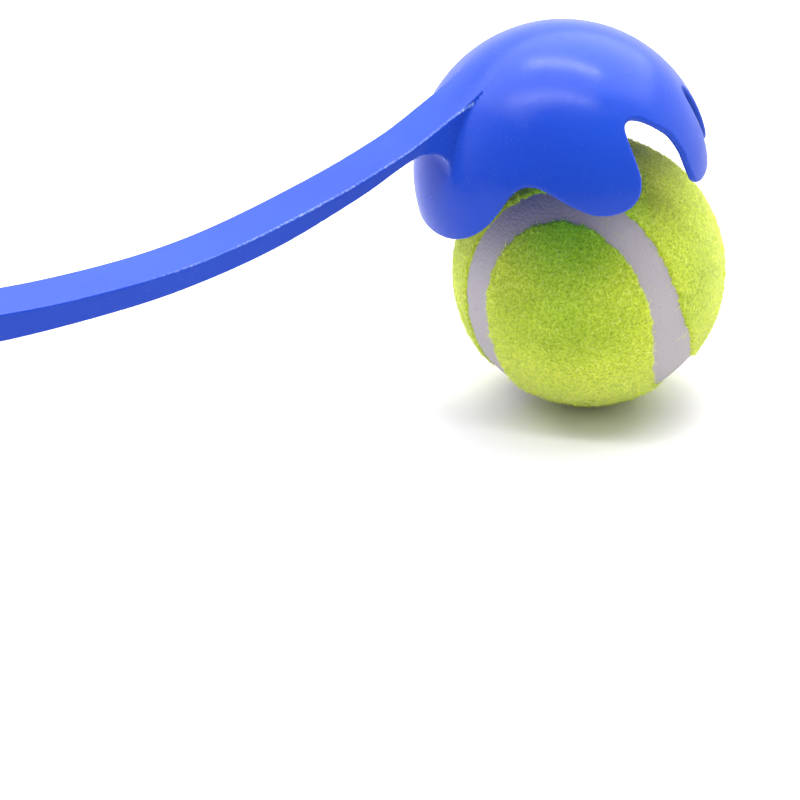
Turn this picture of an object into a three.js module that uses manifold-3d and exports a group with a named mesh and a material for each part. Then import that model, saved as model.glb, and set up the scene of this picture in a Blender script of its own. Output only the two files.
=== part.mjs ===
import * as THREE from 'three';
import { mergeVertices } from 'three/addons/utils/BufferGeometryUtils.js';
import Module from 'manifold-3d';

const wasm = await Module();
wasm.setup();

// Ball: a hollow rubber core, two felt panels and the pale seam between them
const ballRadius = 32.5;
const feltThickness = 2.9;
const coreWall = 3.3;
const fitGap = 0.3;          // between pieces that touch
const seamWidth = 8.1;
const seamSink = 0.9;        // seam rubber lies this far below the felt
const seamLobeShare = 0.197; // how far the seam curve swings, as a share of the ball

// Cup: a lobed shell that the ball snaps into
const ballClearance = 0.35;  // round the seated ball
const cupWall = 1.65;
const mouthTiltDegrees = 14.56; // from straight down, towards +X
const releaseTiltDegrees = 17; // the ball's way out leans a little more
const ballDrop = 28.3;       // ball centre from its seat, along its way out

// Arm and grip, seen from the side: "along" runs from the cup centre to the pommel, "below" across it
const reach = 421;           // cup centre to pommel
const carryTiltDegrees = 15; // the pommel end is held up by this
const armWidth = 14.4;
const rootWidth = 21;        // foot of the gusset, where the arm flares into the cup
const gripWidth = 21;
const edgeRound = 0.5;
const gripRound = 2.2;
const scallopHeight = 2.9;
const scallopCount = 3;
const webThickness = 3.2;
const rimAbove = 5.1;        // palm side of the grip's rim
const rimBelow = 6.2;        // finger side
const pocketRound = 1.5;     // height of the slope at a pocket's foot
const pocketDraw = 0.9;      // and its width
const hangHole = 7;
const overrun = 3;           // cutters run past what they cut
const cutterLip = 12;        // the mouth's cutter stands this far out of the cup
const weld = 0.00001;        // corners this close are one

const blue = new THREE.MeshStandardMaterial({ color: 0x2f5be0, roughness: 0.34, metalness: 0 });
const rubber = new THREE.MeshStandardMaterial({ color: 0x2b2b2d, roughness: 0.8, metalness: 0 });
const felt = new THREE.MeshStandardMaterial({ color: 0xc4e23c, roughness: 1, metalness: 0 });
const seamRubber = new THREE.MeshStandardMaterial({ color: 0xaaa4b4, roughness: 0.75, metalness: 0 });

// Cup mouth: azimuth round the mouth axis from the arm, and polar angle from that axis, in degrees
const mouthDegrees = [
  [7, 86.9], [17, 88.3], [26, 91.5], [33.6, 96.1], [40, 102], [46, 108.5], [51.5, 111.4], [57, 110.9],
  [62.5, 107.3], [70, 100.8], [77, 95.8], [84, 93.6], [91, 93.7], [96, 96.8], [98.5, 102], [99.2, 110],
  [99.8, 118], [101.6, 122.8], [105, 123.8], [110, 121.5], [115, 116.5], [119.5, 110.5], [121.8, 103],
  [122.8, 94.5], [125, 88], [129.5, 85.2], [136, 84.4], [141.5, 86], [144.3, 91.5], [145.2, 99],
  [145.8, 108], [148, 114], [151.5, 116], [155, 113], [156.5, 105], [157, 97], [158.5, 90], [163, 86.2],
  [172, 85.2], [182, 85.2], [190, 85.3], [197, 86.8], [201.5, 91], [204, 100], [206, 110], [209, 119],
  [216, 123], [223, 122.5], [229, 117], [233, 107], [238, 98], [246, 94], [256, 93.5], [265, 94.5],
  [272, 99], [278, 106], [283, 110.5], [289, 111.3], [295, 108], [302, 101], [309, 95], [317, 91],
  [327, 88.3], [340, 87], [353, 86.7],
];

// Upper and lower edge of the arm and grip, as shares of the reach: along, below
const upperEdgeShares = [
  [0.0570, -0.0465], [0.0684, -0.0371], [0.080, -0.0276], [0.0886, -0.0185], [0.0957, -0.0107],
  [0.1067, 0.0002], [0.135, 0.0233], [0.1758, 0.0520], [0.2097, 0.0720], [0.2475, 0.0888],
  [0.2967, 0.1055], [0.347, 0.1166], [0.407, 0.1238], [0.467, 0.1225], [0.5266, 0.1140],
  [0.585, 0.0957], [0.6235, 0.0798], [0.662, 0.0603], [0.681, 0.0500], [0.7005, 0.0442],
  [0.7404, 0.0413], [0.7798, 0.0363], [0.8192, 0.0290], [0.8584, 0.0192], [0.8971, 0.0064],
  [0.9361, -0.0074], [0.9553, -0.0164], [0.9648, -0.0220], [0.9746, -0.0242], [0.985, -0.0204],
  [0.9935, -0.0095], [0.9985, 0.0060], [1.0018, 0.0210],
];
const lowerEdgeShares = [
  [0.0570, 0.0333], [0.0689, 0.0154], [0.0748, 0.0076], [0.0789, 0.0024], [0.0822, -0.0019],
  [0.0874, -0.0038], [0.0931, -0.0024], [0.0988, 0.0012], [0.1083, 0.0100], [0.1245, 0.0257],
  [0.1625, 0.0565], [0.2028, 0.0815], [0.2425, 0.1005], [0.302, 0.1228], [0.348, 0.1336],
  [0.4085, 0.1406], [0.469, 0.1420], [0.528, 0.1350], [0.587, 0.1185], [0.626, 0.1076],
  [0.665, 0.0979], [0.685, 0.0952], [0.705, 0.0950], [0.7252, 0.0981], [0.7354, 0.1002],
  [0.7551, 0.0962], [0.7746, 0.0912], [0.7941, 0.0840], [0.8040, 0.0758], [0.8131, 0.0722],
  [0.862, 0.0620], [0.9109, 0.0506], [0.9501, 0.0399], [0.9603, 0.0425], [0.9710, 0.0483],
  [0.981, 0.0497], [0.9905, 0.0485], [0.998, 0.0385], [1.0018, 0.0235],
];
const scallopStartShare = 0.8131;
const scallopEndShare = 0.9501;
const pocketTipShare = 0.661;
const pocketEndShare = 0.9905;
const hangHoleShares = [0.9663, 0.0103];
const gripCentreShares = [0.82, 0.049];
const gripStartShare = 0.60;
const gripFullShare = 0.70;
const rootStartShare = 0.070;
const rootEndShare = 0.102;

const radians = THREE.MathUtils.degToRad;
const smooth = THREE.MathUtils.smoothstep;
const lerp = THREE.MathUtils.lerp;

// Closed solid from a geometry, and back
function solid(geometry) {
  const bare = geometry.clone();
  bare.deleteAttribute('normal');
  bare.deleteAttribute('uv');
  const merged = mergeVertices(bare, weld);
  return new wasm.Manifold(new wasm.Mesh({
    numProp: 3,
    vertProperties: Float32Array.from(merged.attributes.position.array),
    triVerts: Uint32Array.from(merged.index.array),
  }));
}

function geometryOf(body) {
  const mesh = body.getMesh();
  const geometry = new THREE.BufferGeometry();
  geometry.setAttribute('position', new THREE.BufferAttribute(mesh.vertProperties, 3));
  geometry.setIndex(new THREE.BufferAttribute(mesh.triVerts, 1));
  return geometry;
}

// Skin over rows of points; each row is a closed ring, and the first and last row are capped by a fan
function skin(rows, closedAlong = false) {
  const count = rows[0].length;
  const points = rows.flat();
  const faces = [];
  const last = closedAlong ? rows.length : rows.length - 1;
  for (let row = 0; row < last; row += 1) {
    const here = row * count;
    const next = ((row + 1) % rows.length) * count;
    for (let side = 0; side < count; side += 1) {
      const other = (side + 1) % count;
      faces.push(here + side, next + side, here + other);
      faces.push(here + other, next + side, next + other);
    }
  }
  if (!closedAlong) {
    for (const row of [0, rows.length - 1]) {
      const centre = points.length;
      points.push(rows[row].reduce((sum, p) => sum.add(p), new THREE.Vector3()).divideScalar(count));
      for (let side = 0; side < count; side += 1) {
        const a = row * count + side;
        const b = row * count + (side + 1) % count;
        faces.push(...(row === 0 ? [centre, a, b] : [centre, b, a]));
      }
    }
  }
  const geometry = new THREE.BufferGeometry().setFromPoints(points);
  geometry.setIndex(faces);
  return geometry;
}

// Side view of the launcher: cup centre at the origin, width along Y
const tilt = radians(carryTiltDegrees);
const alongAxis = new THREE.Vector3(-Math.cos(tilt), 0, Math.sin(tilt));
const belowAxis = new THREE.Vector3(-Math.sin(tilt), 0, -Math.cos(tilt));
const widthAxis = new THREE.Vector3(0, 1, 0);

function place(along, below, width) {
  return new THREE.Vector3()
    .addScaledVector(alongAxis, along)
    .addScaledVector(belowAxis, below)
    .addScaledVector(widthAxis, width);
}

function edgeFunction(shares) {
  const knots = shares.map(([along, below]) => new THREE.Vector2(along * reach, below * reach));
  const fine = new THREE.SplineCurve(knots).getPoints(shares.length * 12);
  return (along) => {
    const next = fine.findIndex((p, i) => i > 0 && p.x >= along);
    const end = next < 0 ? fine.length - 1 : next;
    const [a, b] = [fine[end - 1], fine[end]];
    return lerp(a.y, b.y, THREE.MathUtils.clamp((along - a.x) / (b.x - a.x), 0, 1));
  };
}

const upperEdge = edgeFunction(upperEdgeShares);
const lowerBase = edgeFunction(lowerEdgeShares);

function lowerEdge(along) {
  const start = scallopStartShare * reach;
  const end = scallopEndShare * reach;
  const turn = THREE.MathUtils.clamp((along - start) / (end - start), 0, 1);
  return lowerBase(along) + scallopHeight * Math.sin(Math.PI * scallopCount * turn) ** 2;
}

// Section across the arm: a rounded bar, wider below than above where the gusset flares into the cup
function section(along) {
  const above = upperEdge(along);
  const below = lowerEdge(along);
  const grip = smooth(along, gripStartShare * reach, gripFullShare * reach);
  const plain = lerp(armWidth, gripWidth, grip);
  const flare = 1 - smooth(along, rootStartShare * reach, rootEndShare * reach);
  const halfAbove = plain / 2;
  const halfBelow = lerp(plain, rootWidth, flare) / 2;
  const most = (below - above) / 2;
  const round = Math.min(lerp(edgeRound, gripRound, grip), most);
  const corners = [[halfAbove, above, 1, 1], [-halfAbove, above, -1, 1],
    [-halfBelow, below, -1, -1], [halfBelow, below, 1, -1]];
  const steps = 2;
  return corners.flatMap(([width, level, across, down], corner) => {
    const points = [];
    for (let step = 0; step <= steps; step += 1) {
      const angle = (corner + step / steps) * Math.PI / 2;
      points.push(place(
        along,
        level + down * round - round * Math.sin(angle),
        width - across * round + round * Math.cos(angle),
      ));
    }
    return points;
  });
}

function armStations() {
  const start = upperEdgeShares[0][0];
  const end = upperEdgeShares.at(-1)[0];
  const spans = [[start, rootEndShare, 12], [rootEndShare, gripStartShare, 26],
    [gripStartShare, scallopStartShare, 20], [scallopStartShare, scallopEndShare, 27]];
  const shares = [];
  for (const [from, to, count] of spans) {
    for (let i = 0; i < count; i += 1) shares.push(lerp(from, to, i / count));
  }
  const tail = 12;
  for (let i = 0; i <= tail; i += 1) {
    shares.push(lerp(scallopEndShare, end, Math.sin(i / tail * Math.PI / 2)));
  }
  return shares.map((share) => share * reach);
}

function armAndGrip() {
  return solid(skin(armStations().map(section)));
}

// One pocket of the cored grip; the outline follows the grip's own edges, a rim's width in
function pocket(side) {
  const tip = pocketTipShare * reach;
  const end = pocketEndShare * reach;
  const steps = 64;
  const upper = [];
  const lower = [];
  for (let i = 0; i <= steps; i += 1) {
    const along = lerp(tip, end, i / steps);
    const closing = Math.min(1, (along - tip) / gripWidth, (end - along) / rimAbove);
    const inner = Math.sqrt(Math.max(0, 1 - (1 - Math.max(closing, 0)) ** 2));
    const top = upperEdge(along) + rimAbove;
    const bottom = lowerEdge(along) - rimBelow;
    const middle = (top + bottom) / 2;
    const half = Math.max(bottom - top, 0) / 2 * inner;
    upper.push([along, middle - half]);
    lower.push([along, middle + half]);
  }
  const outline = [...upper, ...lower.slice(1, -1).reverse()];
  const floor = webThickness / 2;
  const depths = [floor, floor + pocketRound, gripWidth / 2 + overrun];
  const draws = [pocketDraw, 0, 0];
  const centreLine = (along) => (upperEdge(along) + rimAbove + lowerEdge(along) - rimBelow) / 2;
  const rows = depths.map((depth, level) => outline.map(([along, below]) => {
    const pull = centreLine(along) - below;
    const inset = Math.sign(pull) * Math.min(Math.abs(pull), draws[level]);
    return place(along, below + inset, side * depth);
  }));
  return solid(skin(side > 0 ? rows : rows.reverse()));
}

function hangHoleCutter() {
  const cutter = new THREE.CylinderGeometry(hangHole / 2, hangHole / 2, gripWidth, 32);
  const [along, below] = hangHoleShares;
  const at = place(along * reach, below * reach, 0);
  return solid(cutter.translate(at.x, at.y, at.z));
}

// Cup: the mouth axis points out of the mouth, and azimuth 0 faces the arm
function fromStraightDown(degrees) {
  return new THREE.Vector3(Math.sin(radians(degrees)), 0, -Math.cos(radians(degrees)));
}

const mouthAxis = fromStraightDown(mouthTiltDegrees);
const armSide = new THREE.Vector3(mouthAxis.z, 0, -mouthAxis.x);
const nearSide = new THREE.Vector3(0, -1, 0);
const cupInside = ballRadius + ballClearance;
const cupOutside = cupInside + cupWall;

function onCup(azimuth, polar, radius) {
  const across = Math.sin(polar) * radius;
  return new THREE.Vector3()
    .addScaledVector(mouthAxis, Math.cos(polar) * radius)
    .addScaledVector(armSide, across * Math.cos(azimuth))
    .addScaledVector(nearSide, across * Math.sin(azimuth));
}

function cupBall(radius, rounds, rings) {
  const ball = new THREE.SphereGeometry(radius, rounds, rings);
  const turn = new THREE.Quaternion().setFromUnitVectors(new THREE.Vector3(0, 1, 0), mouthAxis);
  return solid(ball.applyQuaternion(turn));
}

function mouthOutline(count) {
  const knots = mouthDegrees.map(([azimuth, polar]) => new THREE.Vector3(azimuth, polar, 0));
  const turnRound = new THREE.Vector3(360, 0, 0);
  const wrapped = [knots.at(-1).clone().sub(turnRound), ...knots, knots[0].clone().add(turnRound)];
  const curve = new THREE.CatmullRomCurve3(wrapped, false, 'centripetal');
  const first = 1 / (wrapped.length - 1);
  return Array.from({ length: count }, (_, i) => {
    const p = curve.getPoint(first + (1 - first) * (i / count));
    return [radians(p.x), radians(p.y)];
  });
}

// Everything that the mouth lets out: rays from the cup centre through the lobed opening
function mouthCutter() {
  const outline = mouthOutline(mouthDegrees.length * 2);
  const rings = 6;
  const reachOut = cupOutside + cutterLip;
  const points = [new THREE.Vector3(), onCup(0, 0, reachOut)];
  for (let ring = 1; ring <= rings; ring += 1) {
    for (const [azimuth, polar] of outline) points.push(onCup(azimuth, polar * ring / rings, reachOut));
  }
  const count = outline.length;
  const at = (ring, i) => 2 + (ring - 1) * count + (i % count);
  const faces = [];
  for (let i = 0; i < count; i += 1) {
    faces.push(1, at(1, i + 1), at(1, i));
    faces.push(0, at(rings, i), at(rings, i + 1));
    for (let ring = 1; ring < rings; ring += 1) {
      faces.push(at(ring, i), at(ring, i + 1), at(ring + 1, i));
      faces.push(at(ring, i + 1), at(ring + 1, i + 1), at(ring + 1, i));
    }
  }
  const geometry = new THREE.BufferGeometry().setFromPoints(points);
  geometry.setIndex(faces);
  return solid(geometry);
}

function launcherBody() {
  return cupBall(cupOutside, 64, 36)
    .add(armAndGrip())
    .subtract(cupBall(cupInside, 56, 32))
    .subtract(mouthCutter())
    .subtract(pocket(1))
    .subtract(pocket(-1))
    .subtract(hangHoleCutter());
}

// Ball seam: one closed curve that swings four times across the ball
function seamPoint(turn) {
  const wide = 1 - seamLobeShare;
  return new THREE.Vector3(
    wide * Math.cos(turn) + seamLobeShare * Math.cos(3 * turn),
    wide * Math.sin(turn) - seamLobeShare * Math.sin(3 * turn),
    2 * Math.sqrt(wide * seamLobeShare) * Math.sin(2 * turn),
  ).normalize();
}

function seamBand(halfWidth, radii) {
  const steps = 76;
  const halfAngle = halfWidth / ballRadius;
  const rows = [];
  for (let i = 0; i < steps; i += 1) {
    const turn = i / steps * 2 * Math.PI;
    const here = seamPoint(turn);
    const ahead = seamPoint(turn + Math.PI / steps).sub(seamPoint(turn - Math.PI / steps));
    const across = new THREE.Vector3().crossVectors(here, ahead).normalize();
    const at = (angle, radius) => here.clone().multiplyScalar(Math.cos(angle) * radius)
      .addScaledVector(across, Math.sin(angle) * radius);
    rows.push([at(halfAngle, radii.inner), at(0, radii.inner), at(-halfAngle, radii.inner),
      at(-halfAngle, radii.outer), at(0, radii.outer), at(halfAngle, radii.outer)]);
  }
  return skin(rows, true);
}

const coreRadius = ballRadius - feltThickness - fitGap;

function coreHalf() {
  const arc = (radius, from, to, steps) => Array.from({ length: steps + 1 }, (_, i) => {
    const angle = lerp(from, to, i / steps);
    return new THREE.Vector2(radius * Math.cos(angle), radius * Math.sin(angle));
  });
  const lift = Math.asin(fitGap / 2 / coreRadius);
  const innerLift = Math.asin(fitGap / 2 / (coreRadius - coreWall));
  const profile = [
    ...arc(coreRadius - coreWall, Math.PI / 2, innerLift, 6),
    ...arc(coreRadius, lift, Math.PI / 2, 7),
  ];
  profile[0].x = 0;
  profile.at(-1).x = 0;
  return new THREE.LatheGeometry(profile, 24);
}

function feltPanels() {
  const inside = ballRadius - feltThickness;
  const cutter = seamBand(seamWidth / 2 + fitGap / 2, { inner: inside - overrun, outer: ballRadius + overrun });
  return solid(new THREE.SphereGeometry(ballRadius, 40, 24))
    .subtract(solid(new THREE.SphereGeometry(inside, 32, 18)))
    .subtract(solid(cutter))
    .decompose();
}

function part(name, geometry, material) {
  const mesh = new THREE.Mesh(geometry, material);
  mesh.name = name;
  return mesh;
}

const launcher = new THREE.Group();
launcher.add(part('launcher_body', geometryOf(launcherBody()), blue));

const ball = new THREE.Group();
ball.position.copy(fromStraightDown(releaseTiltDegrees)).multiplyScalar(ballDrop);
ball.rotation.set(radians(-6.8), radians(-7.5), radians(3.6));
const halfA = part('ball_core_half_a', coreHalf(), rubber);
const halfB = part('ball_core_half_b', coreHalf(), rubber);
halfB.rotation.x = Math.PI;
const [panelA, panelB] = feltPanels();
ball.add(
  halfA,
  halfB,
  part('ball_felt_panel_a', geometryOf(panelA), felt),
  part('ball_felt_panel_b', geometryOf(panelB), felt),
  part('ball_seam_band', seamBand(
    seamWidth / 2 - fitGap / 2,
    { inner: ballRadius - feltThickness, outer: ballRadius - seamSink },
  ), seamRubber),
);

// The hand holds the grip at the origin
const [gripAlong, gripBelow] = gripCentreShares;
const product = new THREE.Group();
product.position.copy(place(gripAlong * reach, gripBelow * reach, 0)).negate();
product.add(launcher, ball);

export default product;
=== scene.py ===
import math

import bpy
import numpy as np
from mathutils import Matrix, Vector
from mathutils.geometry import delaunay_2d_cdt
from mathutils.noise import fractal


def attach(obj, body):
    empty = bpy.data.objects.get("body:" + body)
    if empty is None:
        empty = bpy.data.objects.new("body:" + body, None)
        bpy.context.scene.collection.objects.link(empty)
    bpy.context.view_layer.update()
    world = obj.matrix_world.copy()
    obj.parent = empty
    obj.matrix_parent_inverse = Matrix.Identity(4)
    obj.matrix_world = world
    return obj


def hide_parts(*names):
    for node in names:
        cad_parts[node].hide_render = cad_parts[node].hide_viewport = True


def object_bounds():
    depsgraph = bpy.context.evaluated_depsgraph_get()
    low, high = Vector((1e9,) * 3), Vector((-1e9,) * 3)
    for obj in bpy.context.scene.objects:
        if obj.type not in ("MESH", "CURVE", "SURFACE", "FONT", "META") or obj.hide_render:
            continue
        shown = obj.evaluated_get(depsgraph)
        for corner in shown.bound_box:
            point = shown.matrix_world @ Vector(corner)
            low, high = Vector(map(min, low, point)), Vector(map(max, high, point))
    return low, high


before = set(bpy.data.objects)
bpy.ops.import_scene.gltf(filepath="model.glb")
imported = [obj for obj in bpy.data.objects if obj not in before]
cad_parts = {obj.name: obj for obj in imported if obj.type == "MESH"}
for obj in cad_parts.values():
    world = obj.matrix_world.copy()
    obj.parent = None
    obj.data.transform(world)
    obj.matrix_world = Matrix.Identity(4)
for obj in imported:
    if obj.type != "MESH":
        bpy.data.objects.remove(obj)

cadBox = [list(map(float, corner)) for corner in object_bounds()]
print("frame loaded", cadBox)

# Camera at the photograph's place, close to the cup
cameraSizes = {
    "place": (0.115516, -0.430820, 0.110827),
    "forward": (0.34924, 0.82448, -0.44527),
    "lens": 99.0,
    "sensor": 36.0,
    "nearClip": 0.01,
}


def newObject(name, data):
    made = bpy.data.objects.new(name, data)
    bpy.context.scene.collection.objects.link(made)
    return made


# Stands at a place, with its own X, Y and Z along three directions
def standing(place, across, up, back):
    return Matrix.Translation(place) @ Matrix((across, up, back)).transposed().to_4x4()


def placeCamera(sizes):
    data = bpy.data.cameras.new("camera")
    data.lens = sizes["lens"]
    data.sensor_width = sizes["sensor"]
    data.clip_start = sizes["nearClip"]
    camera = newObject("camera", data)
    forward = Vector(sizes["forward"]).normalized()
    right = forward.cross(Vector((0, 0, 1))).normalized()
    camera.matrix_world = standing(sizes["place"], right, right.cross(forward), -forward)
    bpy.context.scene.camera = camera


placeCamera(cameraSizes)
print("camera placed")


# Shader maths as expressions: a wire is one output socket
class Wire:
    def __init__(self, maker, socket):
        self.maker = maker
        self.socket = socket

    def maths(self, operation, first, second):
        return self.maker.maths(operation, first, second)

    def __add__(self, other):
        return self.maths("ADD", self, other)

    def __radd__(self, other):
        return self.maths("ADD", other, self)

    def __sub__(self, other):
        return self.maths("SUBTRACT", self, other)

    def __rsub__(self, other):
        return self.maths("SUBTRACT", other, self)

    def __mul__(self, other):
        return self.maths("MULTIPLY", self, other)

    def __rmul__(self, other):
        return self.maths("MULTIPLY", other, self)

    def __truediv__(self, other):
        return self.maths("DIVIDE", self, other)

    def __pow__(self, other):
        return self.maths("POWER", self, other)


class Nodes:
    def __init__(self, tree):
        self.tree = tree

    def feed(self, socket, value):
        if isinstance(value, Wire):
            self.tree.links.new(value.socket, socket)
        elif isinstance(value, bpy.types.ID):
            socket.default_value = value
        elif hasattr(socket.default_value, "__len__") and len(socket.default_value) == 4:
            socket.default_value = (*value, 1.0)[:4]
        else:
            socket.default_value = value

    def node(self, kind, settings=None, sockets=None, out=0):
        made = self.tree.nodes.new(kind)
        for key, value in (settings or {}).items():
            setattr(made, key, value)
        for key, value in (sockets or {}).items():
            self.feed(made.inputs[key], value)
        return Wire(self, made.outputs[out]) if made.outputs else None

    def ramp(self, value, low, high, fromLow=0.0, fromHigh=1.0):
        return self.node("ShaderNodeMapRange", {"clamp": True}, {
            "Value": value, "From Min": fromLow, "From Max": fromHigh,
            "To Min": low, "To Max": high})

    def maths(self, operation, first, second):
        return self.node("ShaderNodeMath", {"operation": operation}, {0: first, 1: second})

    def turned(self, rotation, angles):
        turn = self.node("FunctionNodeEulerToRotation", None, {0: angles})
        return self.node("FunctionNodeRotateRotation", {"rotation_space": "LOCAL"},
                         {"Rotation": rotation, "Rotate By": turn})

    def random(self, low, high, seed):
        return self.node("FunctionNodeRandomValue", {"data_type": "FLOAT"},
                         {2: low, 3: high, "Seed": seed}, out=1)

    # A vector's measure as a number: distance from a place, or the dot product with a direction
    def measure(self, operation, first, second):
        return self.node("ShaderNodeVectorMath", {"operation": operation}, {0: first, 1: second}, out=1)


class Shader(Nodes):
    def __init__(self, name):
        self.material = bpy.data.materials.new(name)
        self.material.use_nodes = True
        super().__init__(self.material.node_tree)
        self.tree.nodes.clear()

    def place(self):
        return self.node("ShaderNodeTexCoord", out="Object")

    def noise(self, vector, scale, detail=2.0, roughness=0.5):
        return self.node("ShaderNodeTexNoise", None, {
            "Vector": vector, "Scale": scale, "Detail": detail, "Roughness": roughness})

    def mix(self, factor, first, second, blend="MIX"):
        settings = {"data_type": "RGBA", "blend_type": blend, "clamp_factor": True}
        return self.node("ShaderNodeMix", settings, {0: factor, 6: first, 7: second}, out=2)

    def bump(self, height, distance, strength=1.0):
        return self.node("ShaderNodeBump", None, {
            "Height": height, "Distance": distance, "Strength": strength})

    def surface(self, sockets):
        shader = self.node("ShaderNodeBsdfPrincipled", None, sockets)
        self.node("ShaderNodeOutputMaterial", None, {"Surface": shader})
        return self.material


# Blue plastic, dusty, with a pale line along the arm's long corners, partly edge wear and partly painted
# highlight, and pale scuffs by those corners; scales are in cells to the metre, and "most" is the share of a
# colour where it is strongest
plasticLook = {
    "blues": ((0.011, 0.055, 0.49), (0.013, 0.067, 0.55)),
    "cloudScale": 26.0,
    "dust": (0.16, 0.27, 0.85),
    "dustMost": 0.15,
    "dustScale": 2600.0,
    "dustPatchScale": 45.0,
    "corner": (0.16, 0.34, 0.98),
    "cornerMost": 0.60,
    "scuff": (0.60, 0.68, 0.88),
    "scuffMost": 0.55,
    "scuffScale": 2200.0,
    "scuffPatchScale": 70.0,
    "scuffRoughness": 0.2,
    "roughness": (0.20, 0.28),
    "roughScale": 240.0,
    "grain": 0.00004,
    "grainScale": 1600.0,
    "index": 1.49,
    "shine": 0.26,
}


def launcherPlastic(look):
    s = Shader("launcherPlastic")
    place = s.place()
    cloud = s.ramp(s.noise(place, look["cloudScale"], 3.0), 0.0, 1.0, 0.35, 0.65)
    colour = s.mix(cloud, *look["blues"])
    dusty = s.ramp(s.noise(place, look["dustPatchScale"]), 0.15, 1.0, 0.4, 0.65)
    speck = s.ramp(s.noise(place, look["dustScale"], 1.0), 0.0, look["dustMost"], 0.62, 0.78) * dusty
    colour = s.mix(speck, colour, look["dust"])
    corner = s.node("ShaderNodeAttribute", {"attribute_name": "cornerDistance"}, out="Fac")
    inPatches = s.ramp(s.noise(place, look["scuffPatchScale"], 2.0), 0.0, 1.0, 0.32, 0.54)
    wornOrShaded = s.ramp(corner, 1.0, 0.0, 0.15, 0.6) * inPatches
    fleck = s.ramp(s.noise(place, look["scuffScale"], 2.0), 0.0, look["scuffMost"], 0.45, 0.60)
    # a pale line along the long corners, partly edge wear and partly painted highlight
    colour = s.mix(s.ramp(corner, look["cornerMost"], 0.0, 0.1, 0.45), colour, look["corner"])
    colour = s.mix(wornOrShaded * fleck, colour, look["scuff"])
    rough = s.ramp(s.noise(place, look["roughScale"], 4.0), *look["roughness"], 0.3, 0.7)
    return s.surface({
        "Base Color": colour, "Roughness": rough + wornOrShaded * look["scuffRoughness"],
        "Normal": s.bump(s.noise(place, look["grainScale"], 3.0), look["grain"], 0.5),
        "IOR": look["index"], "Specular IOR Level": look["shine"]})


# Painted shade on the felt: a darker green patch under the cup's front lobe, a darker olive patch on the near
# side
paintedShadePatches = {
    "lobe": {"place": (0.3335, -0.0158, -0.0714), "near": 0.004, "far": 0.021,
             "tint": (0.40, 0.88, 0.62)},
    "nearShade": {"place": (0.3278, -0.0253, -0.0898), "near": 0.003, "far": 0.020,
             "tint": (0.68, 0.80, 0.70)},
}

# Felt's ground and the fibres that stand on it; the ground's darker colours are the felt's own with painted
# shade of the deep pile
feltLook = {
    "ground": ((0.31, 0.46, 0.016), (0.78, 0.89, 0.08)),
    "fibres": ((0.86, 0.98, 0.07), (1.0, 1.0, 0.30)),
    "worn": (0.70, 0.77, 0.62),
    "wornMost": 0.8,
    "wornScale": 48.0,
    "groundScale": 1500.0,
    "fibreScale": 1100.0,
    "grain": 0.0004,
    "grainScale": 1300.0,
    "finish": {"Roughness": 1.0, "Specular IOR Level": 0.2, "Sheen Weight": 1.0,
               "Sheen Roughness": 0.4, "Sheen Tint": (0.95, 1.0, 0.50)},
}


# Painted shade multiplied in at each patch, darkest at its middle, then darker worn mottling at random
def shadedWornFelt(s, colour, look):
    for patch in paintedShadePatches.values():
        away = s.measure("DISTANCE", s.place(), patch["place"])
        wornOrShaded = s.ramp(away, 1.0, 0.0, patch["near"], patch["far"])
        colour = s.mix(wornOrShaded, colour, patch["tint"], "MULTIPLY")
    worn = s.ramp(s.noise(s.place(), look["wornScale"], 3.0), 0.0, look["wornMost"], 0.48, 0.70)
    return s.mix(worn, colour, look["worn"], "MULTIPLY")


def ballFelt(look):
    s = Shader("ballFelt")
    place = s.place()
    # the ground is darker than the fibres: painted shade of the deep pile on the felt's own colour
    fine = s.ramp(s.noise(place, look["groundScale"], 4.0, 0.7), 0.0, 1.0, 0.34, 0.66)
    normal = s.bump(s.noise(place, look["grainScale"], 4.0, 0.7), look["grain"])
    colour = shadedWornFelt(s, s.mix(fine, *look["ground"]), look)
    return s.surface({"Base Color": colour, "Normal": normal, **look["finish"]})


def feltFibre(look):
    s = Shader("feltFibre")
    fine = s.ramp(s.noise(s.place(), look["fibreScale"], 2.0), 0.0, 1.0, 0.35, 0.65)
    colour = shadedWornFelt(s, s.mix(fine, *look["fibres"]), look)
    return s.surface({"Base Color": colour, **look["finish"]})


# Matt grey rubber with darker specks
seamLook = {
    "greys": ((0.395, 0.362, 0.395), (0.495, 0.462, 0.495)),
    "cloudScale": 70.0,
    "speck": (0.30, 0.28, 0.31),
    "speckMost": 0.5,
    "speckScale": 1300.0,
    "roughness": 0.8,
    "grain": 0.0002,
    "grainScale": 1500.0,
    "shine": 0.3,
}


def seamRubber(look):
    s = Shader("seamRubber")
    place = s.place()
    colour = s.mix(s.noise(place, look["cloudScale"], 5.0), *look["greys"])
    speck = s.ramp(s.noise(place, look["speckScale"], 2.0), 0.0, look["speckMost"], 0.62, 0.72)
    return s.surface({
        "Base Color": s.mix(speck, colour, look["speck"]), "Roughness": look["roughness"],
        "Normal": s.bump(s.noise(place, look["grainScale"], 4.0), look["grain"]),
        "Specular IOR Level": look["shine"]})


# Black rubber inside the ball
coreLook = {
    "blacks": ((0.016, 0.016, 0.017), (0.034, 0.033, 0.032)),
    "cloudScale": 160.0,
    "roughness": (0.68, 0.9),
    "roughScale": 300.0,
    "grain": 0.0002,
    "grainScale": 900.0,
}


def coreRubber(look):
    s = Shader("coreRubber")
    place = s.place()
    return s.surface({
        "Base Color": s.mix(s.noise(place, look["cloudScale"], 5.0), *look["blacks"]),
        "Roughness": s.ramp(s.noise(place, look["roughScale"], 4.0), *look["roughness"], 0.3, 0.7),
        "Normal": s.bump(s.noise(place, look["grainScale"], 5.0), look["grain"])})


# A piece that keeps its CAD shape gets its finish
def dress(node, material):
    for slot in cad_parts[node].material_slots:
        slot.material = material


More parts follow.
